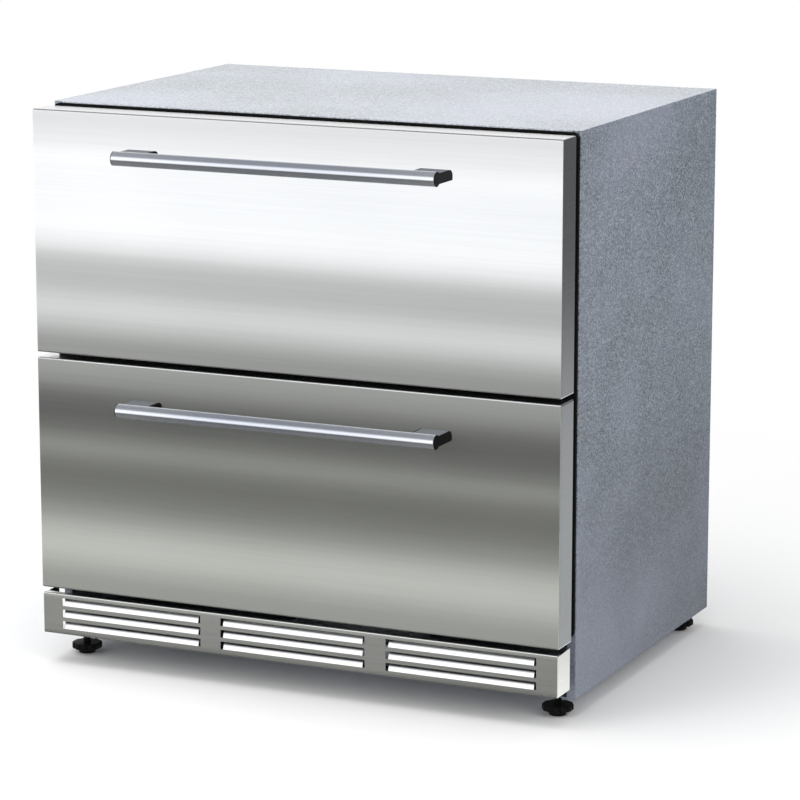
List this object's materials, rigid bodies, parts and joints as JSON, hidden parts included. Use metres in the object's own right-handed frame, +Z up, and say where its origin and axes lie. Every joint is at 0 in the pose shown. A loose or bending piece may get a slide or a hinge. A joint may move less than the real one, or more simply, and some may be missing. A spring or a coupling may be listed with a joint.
{
  "type": "undercounter drawer refrigerator",
  "caption": "Built-in refrigerator with stacked stainless drawers on telescopic slides, bar handles, a louvred toe grille, levelling feet and its cooling machinery.",
  "frame": {"origin": "on the floor, under the middle of the whole box with its handles", "axes": "+Z up, drawer fronts face -Y, +X to the right of someone facing them"},
  "size_m": [0.876, 0.715, 0.882],
  "materials": {
    "galvanised_steel": "spangled zinc-coated sheet",
    "lid_steel": "pale satin coated sheet",
    "stainless_steel": "horizontally brushed stainless",
    "black_frame": "moulded matte black",
    "gasket_rubber": "soft black seal",
    "black_plastic": "fine moulded texture",
    "insulation_foam": "rigid closed-cell foam",
    "liner_plastic": "smooth pale moulding",
    "bin_plastic": "smooth grey-white moulding",
    "slide_steel": "bright zinc-plated",
    "screw_steel": "zinc-plated",
    "compressor_paint": "semi-gloss black enamel",
    "mount_rubber": "matte",
    "coil_aluminium": "plain mill finish",
    "fan_plastic": "glass-filled black",
    "motor_metal": "dark grey coated",
    "line_copper": "drawn copper",
    "window_plastic": "smoked clear window",
    "board_green": "solder-masked laminate",
    "button_plastic": "satin grey caps",
    "lamp_plastic": "frosted diffuser"
  },
  "bodies": {
    "cabinet": {"side_panel_left": "galvanised_steel", "side_panel_right": "galvanised_steel", "top_panel": "lid_steel", "rear_panel": "galvanised_steel", "deck_panel": "galvanised_steel", "foam_insulation": "insulation_foam", "inner_liner": "liner_plastic", "front_frame": "black_frame", "machine_cover": "galvanised_steel", "power_inlet": "black_plastic", "cabinet_screws": "screw_steel", "base_pan": "galvanised_steel", "toe_grille": "stainless_steel", "upper_slide_outer": "slide_steel", "lower_slide_outer": "slide_steel", "compressor": "compressor_paint", "compressor_mounts": "mount_rubber", "condenser_coil": "coil_aluminium", "condenser_fan_motor": "motor_metal", "evaporator_coil": "coil_aluminium", "evaporator_cover": "liner_plastic", "evaporator_fan_motor": "motor_metal", "drain_pan": "bin_plastic", "filter_drier": "line_copper", "refrigerant_lines": "line_copper", "control_housing": "black_plastic", "display_lens": "window_plastic", "control_board": "board_green", "lamp_lens": "lamp_plastic"},
    "upper_drawer": {"upper_front_skin": "stainless_steel", "upper_front_foam": "insulation_foam", "upper_front_inner": "liner_plastic", "upper_gasket": "gasket_rubber", "upper_handle_bar": "stainless_steel", "upper_handle_caps": "black_plastic", "upper_handle_arms": "stainless_steel", "upper_handle_screws": "screw_steel", "upper_bin": "bin_plastic", "upper_slide_inner": "slide_steel"},
    "lower_drawer": {"lower_front_skin": "stainless_steel", "lower_front_foam": "insulation_foam", "lower_front_inner": "liner_plastic", "lower_gasket": "gasket_rubber", "lower_handle_bar": "stainless_steel", "lower_handle_caps": "black_plastic", "lower_handle_arms": "stainless_steel", "lower_handle_screws": "screw_steel", "lower_bin": "bin_plastic", "lower_slide_inner": "slide_steel"},
    "upper_runner": {"upper_slide_middle": "slide_steel"},
    "lower_runner": {"lower_slide_middle": "slide_steel"},
    "condenser_fan": {"condenser_fan_blade": "fan_plastic"},
    "evaporator_fan": {"evaporator_fan_blade": "fan_plastic"},
    "power_button": {"button_power": "button_plastic"},
    "down_button": {"button_down": "button_plastic"},
    "up_button": {"button_up": "button_plastic"},
    "front_left_foot": {"foot_front_left": "black_plastic"},
    "front_right_foot": {"foot_front_right": "black_plastic"},
    "rear_left_foot": {"foot_rear_left": "black_plastic"},
    "rear_right_foot": {"foot_rear_right": "black_plastic"}
  },
  "joints": [
    {"name": "upper_drawer_slide", "type": "slide", "parent": "cabinet", "child": "upper_drawer", "axis": [0, -1, 0], "range_m": [0, 0.42]},
    {"name": "upper_runner_slide", "type": "slide", "parent": "cabinet", "child": "upper_runner", "axis": [0, -1, 0], "range_m": [0, 0.21]},
    {"name": "lower_drawer_slide", "type": "slide", "parent": "cabinet", "child": "lower_drawer", "axis": [0, -1, 0], "range_m": [0, 0.42]},
    {"name": "lower_runner_slide", "type": "slide", "parent": "cabinet", "child": "lower_runner", "axis": [0, -1, 0], "range_m": [0, 0.21]},
    {"name": "condenser_fan_spin", "type": "hinge", "parent": "cabinet", "child": "condenser_fan", "pos_m": [-0.265, 0.25, 0.1225], "axis": [0, 1, 0], "continuous": true},
    {"name": "evaporator_fan_spin", "type": "hinge", "parent": "cabinet", "child": "evaporator_fan", "pos_m": [0, 0.27, 0.771], "axis": [0, 1, 0], "continuous": true},
    {"name": "power_button_press", "type": "slide", "parent": "cabinet", "child": "power_button", "axis": [0, 1, 0], "range_m": [0, 0.0012], "stiffness_N_per_m": 1200},
    {"name": "down_button_press", "type": "slide", "parent": "cabinet", "child": "down_button", "axis": [0, 1, 0], "range_m": [0, 0.0012], "stiffness_N_per_m": 1200},
    {"name": "up_button_press", "type": "slide", "parent": "cabinet", "child": "up_button", "axis": [0, 1, 0], "range_m": [0, 0.0012], "stiffness_N_per_m": 1200},
    {"name": "front_left_foot_level", "type": "slide", "parent": "cabinet", "child": "front_left_foot", "axis": [0, 0, -1], "range_m": [0, 0.02]},
    {"name": "front_right_foot_level", "type": "slide", "parent": "cabinet", "child": "front_right_foot", "axis": [0, 0, -1], "range_m": [0, 0.02]},
    {"name": "rear_left_foot_level", "type": "slide", "parent": "cabinet", "child": "rear_left_foot", "axis": [0, 0, -1], "range_m": [0, 0.02]},
    {"name": "rear_right_foot_level", "type": "slide", "parent": "cabinet", "child": "rear_right_foot", "axis": [0, 0, -1], "range_m": [0, 0.02]}
  ],
  "couplings": [
    {"joint": "upper_runner_slide", "follows": "upper_drawer_slide", "ratio": 0.5},
    {"joint": "lower_runner_slide", "follows": "lower_drawer_slide", "ratio": 0.5}
  ]
}
